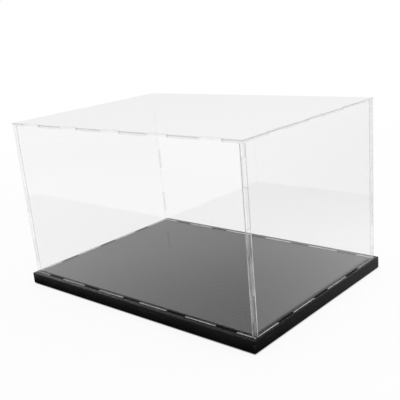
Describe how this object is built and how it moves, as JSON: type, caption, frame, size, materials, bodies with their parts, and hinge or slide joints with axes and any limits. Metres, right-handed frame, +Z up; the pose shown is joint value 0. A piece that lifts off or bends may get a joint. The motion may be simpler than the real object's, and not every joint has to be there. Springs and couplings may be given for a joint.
{
  "type": "football display case",
  "caption": "Clear finger-jointed sheet cover with a lift-off top, plugged into slots in a glossy black plate on a thick base board, to show a football free of dust.",
  "frame": {"origin": "middle of the base at the level of the surface it stands on", "axes": "+X along the long front face, -Y out of the front, +Z up"},
  "size_m": [0.35, 0.25, 0.2042],
  "materials": {
    "clear_sheet": "polished clear acrylic",
    "gloss_black_sheet": "mirror gloss",
    "bonding_film": "tacky film",
    "satin_black_board": "satin",
    "pad_rubber": "matte"
  },
  "bodies": {
    "base": {"base_board": "satin_black_board", "adhesive_film": "bonding_film", "base_plate": "gloss_black_sheet", "foot_pad_front_left": "pad_rubber", "foot_pad_front_right": "pad_rubber", "foot_pad_back_left": "pad_rubber", "foot_pad_back_right": "pad_rubber"},
    "cover": {"front_panel": "clear_sheet", "back_panel": "clear_sheet", "left_panel": "clear_sheet", "right_panel": "clear_sheet"},
    "lid": {"top_panel": "clear_sheet"}
  },
  "joints": [
    {"name": "cover_lift", "type": "slide", "parent": "base", "child": "cover", "axis": [0, 0, 1], "range_m": [0, 0.2]},
    {"name": "lid_lift", "type": "slide", "parent": "cover", "child": "lid", "axis": [0, 0, 1], "range_m": [0, 0.1]}
  ]
}
